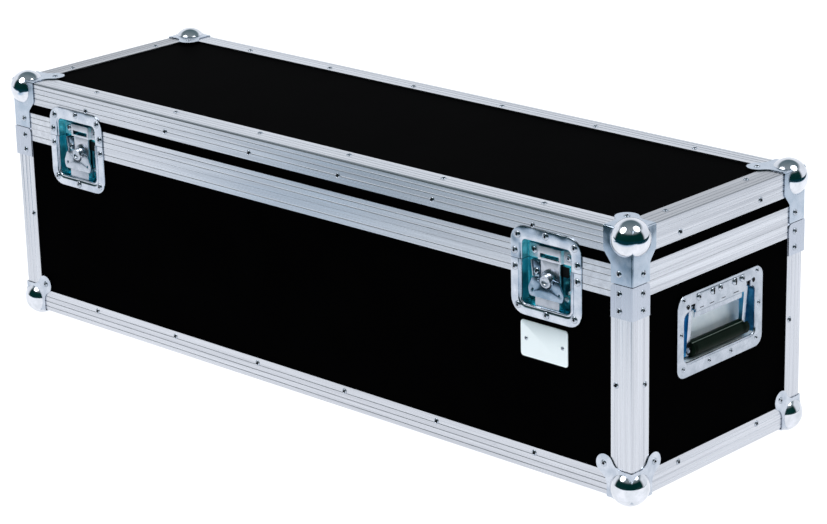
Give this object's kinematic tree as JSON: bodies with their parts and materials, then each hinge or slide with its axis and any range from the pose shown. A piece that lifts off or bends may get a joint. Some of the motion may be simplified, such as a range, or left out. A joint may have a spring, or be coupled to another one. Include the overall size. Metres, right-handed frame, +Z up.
{
  "type": "flight case",
  "caption": "Long, low black flight case with aluminium edging, ball corners, a hinged lid, recessed butterfly latches and sprung end handles.",
  "frame": {"origin": "middle of the case's footprint, at floor level", "axes": "+X along the case, to its right end seen from the latch side; +Y from the latch side to the hinge side; +Z up"},
  "size_m": [1.0702, 0.3402, 0.3402],
  "materials": {
    "laminate": "plywood faced with smooth black laminate",
    "profile": "mill finish with fine lengthwise grooves",
    "zinc": "bright zinc plate",
    "plated": "satin plated steel",
    "rubber": "moulded black rubber"
  },
  "bodies": {
    "base": {"base_bottom_panel": "laminate", "base_front_panel": "laminate", "base_back_panel": "laminate", "base_left_panel": "laminate", "base_right_panel": "laminate", "bottom_edge_front": "profile", "bottom_edge_back": "profile", "bottom_edge_left": "profile", "bottom_edge_right": "profile", "corner_post_fl": "profile", "corner_post_fr": "profile", "corner_post_bl": "profile", "corner_post_br": "profile", "base_closing_front": "profile", "base_closing_back": "profile", "base_closing_left": "profile", "base_closing_right": "profile", "bottom_ball_fl": "zinc", "bottom_ball_fr": "zinc", "bottom_ball_bl": "zinc", "bottom_ball_br": "zinc", "latch_left_dish": "zinc", "latch_right_dish": "zinc", "handle_left_dish": "plated", "handle_right_dish": "plated", "hinge_left_base_leaf": "plated", "hinge_right_base_leaf": "plated"},
    "lid": {"lid_top_panel": "laminate", "lid_front_panel": "laminate", "lid_back_panel": "laminate", "lid_left_panel": "laminate", "lid_right_panel": "laminate", "lid_edge_front": "profile", "lid_edge_back": "profile", "lid_edge_left": "profile", "lid_edge_right": "profile", "lid_closing_front": "profile", "lid_closing_back": "profile", "lid_closing_left": "profile", "lid_closing_right": "profile", "lid_ball_fl": "zinc", "lid_ball_fr": "zinc", "lid_ball_bl": "zinc", "lid_ball_br": "zinc", "latch_left_keeper": "zinc", "latch_right_keeper": "zinc", "hinge_left_lid_leaf": "plated", "hinge_right_lid_leaf": "plated"},
    "latch_left_post": {"latch_left_post": "zinc"},
    "latch_left_hook": {"latch_left_hook": "zinc"},
    "latch_left_wing": {"latch_left_wing": "zinc"},
    "latch_right_post": {"latch_right_post": "zinc"},
    "latch_right_hook": {"latch_right_hook": "zinc"},
    "latch_right_wing": {"latch_right_wing": "zinc"},
    "handle_left": {"handle_left_bail": "plated", "handle_left_grip": "rubber"},
    "handle_right": {"handle_right_bail": "plated", "handle_right_grip": "rubber"}
  },
  "joints": [
    {"name": "lid_hinge", "type": "hinge", "parent": "base", "child": "lid", "pos_m": [0, 0.1652, 0.2661], "axis": [-1, 0, 0], "range_deg": [0, 100]},
    {"name": "latch_left_turn", "type": "hinge", "parent": "base", "child": "latch_left_post", "pos_m": [-0.402, -0.16, 0.2471], "axis": [0, -1, 0], "range_deg": [0, 180]},
    {"name": "latch_left_draw", "type": "slide", "parent": "base", "child": "latch_left_hook", "axis": [0, 0, 1], "range_m": [0, 0.007]},
    {"name": "latch_left_fold", "type": "hinge", "parent": "latch_left_post", "child": "latch_left_wing", "pos_m": [-0.402, -0.1606, 0.2471], "axis": [-1, 0, 0], "range_deg": [0, 90]},
    {"name": "latch_right_turn", "type": "hinge", "parent": "base", "child": "latch_right_post", "pos_m": [0.402, -0.16, 0.2471], "axis": [0, -1, 0], "range_deg": [0, 180]},
    {"name": "latch_right_draw", "type": "slide", "parent": "base", "child": "latch_right_hook", "axis": [0, 0, 1], "range_m": [0, 0.007]},
    {"name": "latch_right_fold", "type": "hinge", "parent": "latch_right_post", "child": "latch_right_wing", "pos_m": [0.402, -0.1606, 0.2471], "axis": [-1, 0, 0], "range_deg": [0, 90]},
    {"name": "handle_left_swing", "type": "hinge", "parent": "base", "child": "handle_left", "pos_m": [-0.5215, 0, 0.2136], "axis": [0, 1, 0], "range_deg": [0, 90], "stiffness_Nm_per_rad": 0.15, "springref_deg": -20.05},
    {"name": "handle_right_swing", "type": "hinge", "parent": "base", "child": "handle_right", "pos_m": [0.5215, 0, 0.2136], "axis": [0, -1, 0], "range_deg": [0, 90], "stiffness_Nm_per_rad": 0.15, "springref_deg": -20.05}
  ],
  "couplings": [
    {"joint": "latch_left_draw", "follows": "latch_left_turn", "m_per_rad": 0.002228},
    {"joint": "latch_right_draw", "follows": "latch_right_turn", "m_per_rad": 0.002228}
  ]
}
